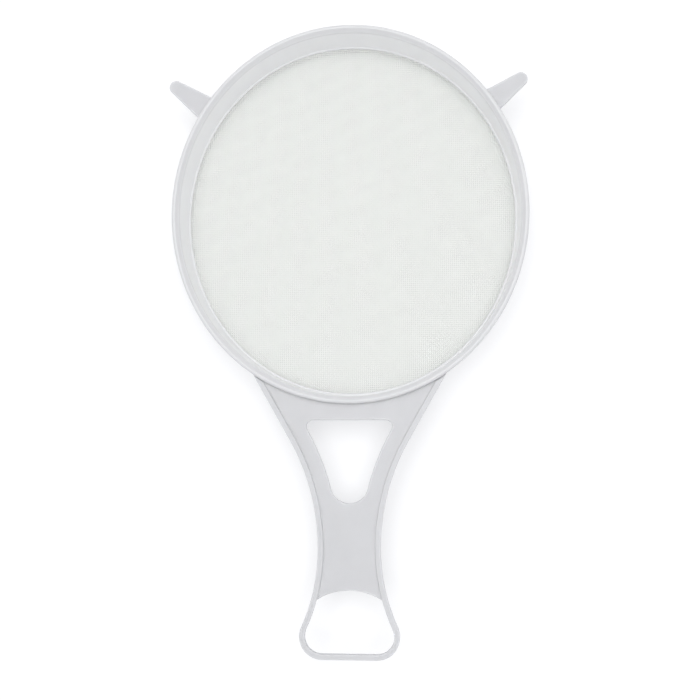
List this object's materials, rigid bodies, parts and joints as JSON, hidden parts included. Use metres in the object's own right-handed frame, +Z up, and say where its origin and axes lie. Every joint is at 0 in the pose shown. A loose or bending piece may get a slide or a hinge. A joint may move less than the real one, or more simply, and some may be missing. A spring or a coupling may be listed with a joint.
{
  "type": "double sieve strainer",
  "caption": "Oval two-stage strainer: a drop-in coarse sieve in a fine sieve with a flat looped handle and two lugs that rest on a bucket rim.",
  "frame": {"origin": "centre of the oval head, on the plane that the strainer stands on", "axes": "+Z up, out of the open top of the sieves; the handle runs along -Y; +X is to the right of the handle seen from above with the handle towards the viewer"},
  "size_m": [0.2436, 0.4235, 0.044],
  "materials": {
    "frame_plastic": "cool white polypropylene with a satin moulded surface",
    "ring_plastic": "cool white polypropylene, welded ring",
    "fine_cloth": "fine plain-woven white nylon",
    "coarse_net": "open plain-woven white nylon net"
  },
  "bodies": {
    "fine_sieve": {"fine_sieve_frame": "frame_plastic", "fine_mesh": "fine_cloth", "fine_mesh_ring": "ring_plastic"},
    "coarse_sieve": {"coarse_sieve_frame": "frame_plastic", "coarse_mesh": "coarse_net", "coarse_mesh_ring": "ring_plastic"}
  },
  "joints": [
    {"name": "coarse_lift", "type": "slide", "parent": "fine_sieve", "child": "coarse_sieve", "axis": [0, 0, 1], "range_m": [0, 0.06]}
  ]
}
